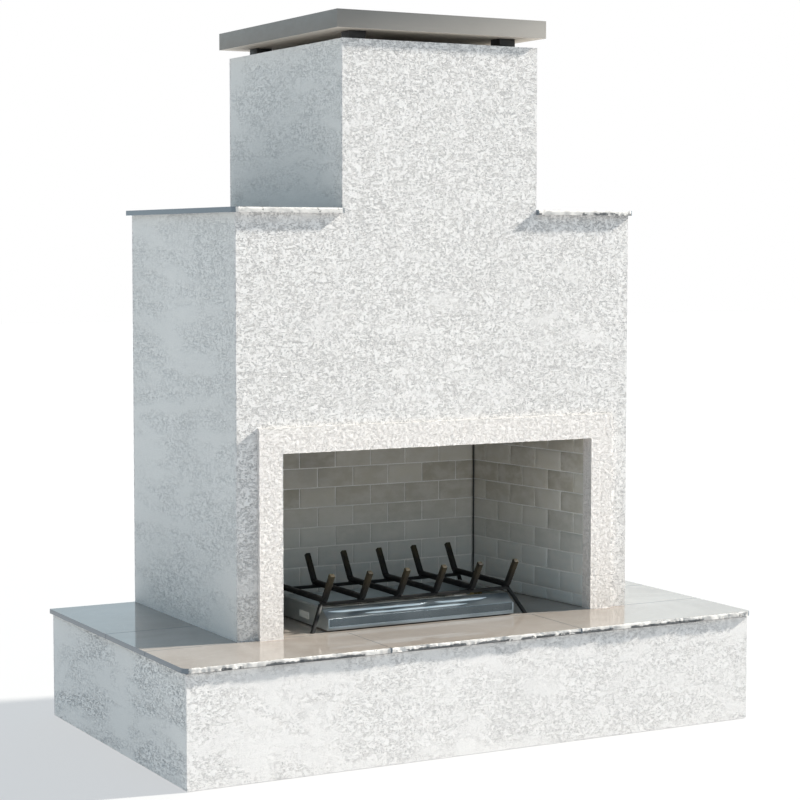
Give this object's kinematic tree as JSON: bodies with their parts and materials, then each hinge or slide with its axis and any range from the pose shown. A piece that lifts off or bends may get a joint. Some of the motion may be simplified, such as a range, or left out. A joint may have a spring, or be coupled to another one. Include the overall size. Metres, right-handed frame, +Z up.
{
  "type": "outdoor fireplace",
  "caption": "Free-standing outdoor gas fireplace: stucco body and chimney on a tiled hearth, brick firebox with loose grate over a burner tray, flat raised cap.",
  "frame": {"origin": "on the ground, at the middle of the fireplace's box seen from above", "axes": "+Z up, +Y from the open front to the back, +X to the right of someone facing the fire"},
  "size_m": [1.754, 1.0184, 1.977],
  "materials": {
    "stucco": "rough lace-textured off-white render",
    "surround_stucco": "rough warm white render",
    "cement_board": "grey fibre cement board",
    "membrane": "orange uncoupling mat",
    "tile": "polished beige stone-look tile with white veins",
    "firebrick": "grey moulded brick with pale thin joints",
    "frame_steel": "galvanised",
    "sheet_steel": "aluminised sheet",
    "cap_metal": "satin taupe grey",
    "black_steel": "satin black",
    "grate_steel": "heat resistant satin black",
    "stainless": "polished stainless",
    "gas_pipe": "black pipe",
    "valve_brass": "machined",
    "plate_chrome": "polished",
    "name_plate": "plain satin",
    "screw_steel": "zinc plated"
  },
  "bodies": {
    "fireplace": {"base_frame": "frame_steel", "base_board_front": "cement_board", "base_board_back": "cement_board", "base_board_left": "cement_board", "base_board_right": "cement_board", "base_stucco": "stucco", "hearth_deck": "cement_board", "hearth_membrane": "membrane", "hearth_tile_front_left": "tile", "hearth_tile_front_middle": "tile", "hearth_tile_front_right": "tile", "hearth_tiles_left": "tile", "hearth_tiles_right": "tile", "firebox_floor_tile": "tile", "body_frame": "frame_steel", "body_board_front": "cement_board", "body_board_back": "cement_board", "body_board_left": "cement_board", "body_board_right": "cement_board", "shoulder_boards": "cement_board", "chimney_side_boards": "cement_board", "stucco_front": "stucco", "stucco_back": "stucco", "stucco_left": "stucco", "stucco_right": "stucco", "shoulder_tile_left": "tile", "shoulder_tile_right": "tile", "opening_surround": "surround_stucco", "lining_left": "firebrick", "lining_right": "firebrick", "lining_back": "firebrick", "firebox_shell": "sheet_steel", "lintel_angle": "black_steel", "smoke_hood": "sheet_steel", "flue_pipe": "sheet_steel", "chimney_top_plate": "sheet_steel", "cap_posts": "black_steel", "cap_base": "cap_metal", "cap_pan": "cap_metal", "cap_screws": "screw_steel", "burner_tray": "stainless", "tray_plate": "name_plate", "burner_tube": "stainless", "air_mixer": "stainless", "gas_jet": "valve_brass", "burner_pipe": "gas_pipe", "supply_pipe": "gas_pipe", "valve_body": "valve_brass", "valve_escutcheon": "plate_chrome"},
    "grate": {"grate_bar_1": "grate_steel", "grate_bar_2": "grate_steel", "grate_bar_3": "grate_steel", "grate_bar_4": "grate_steel", "grate_bar_5": "grate_steel", "grate_bar_6": "grate_steel", "grate_crossbars": "grate_steel", "grate_legs": "grate_steel"},
    "valve_stem": {"valve_stem": "valve_brass"},
    "air_shutter": {"air_shutter": "stainless"}
  },
  "joints": [
    {"name": "grate_lift", "type": "slide", "parent": "fireplace", "child": "grate", "axis": [0, 0, 1], "range_m": [0, 0.15]},
    {"name": "valve_turn", "type": "hinge", "parent": "fireplace", "child": "valve_stem", "pos_m": [0.767, 0.03075, 0.15], "axis": [1, 0, 0], "range_deg": [0, 90]},
    {"name": "shutter_turn", "type": "hinge", "parent": "fireplace", "child": "air_shutter", "pos_m": [0.149, -0.07925, 0.3445], "axis": [1, 0, 0], "range_deg": [0, 60]}
  ]
}
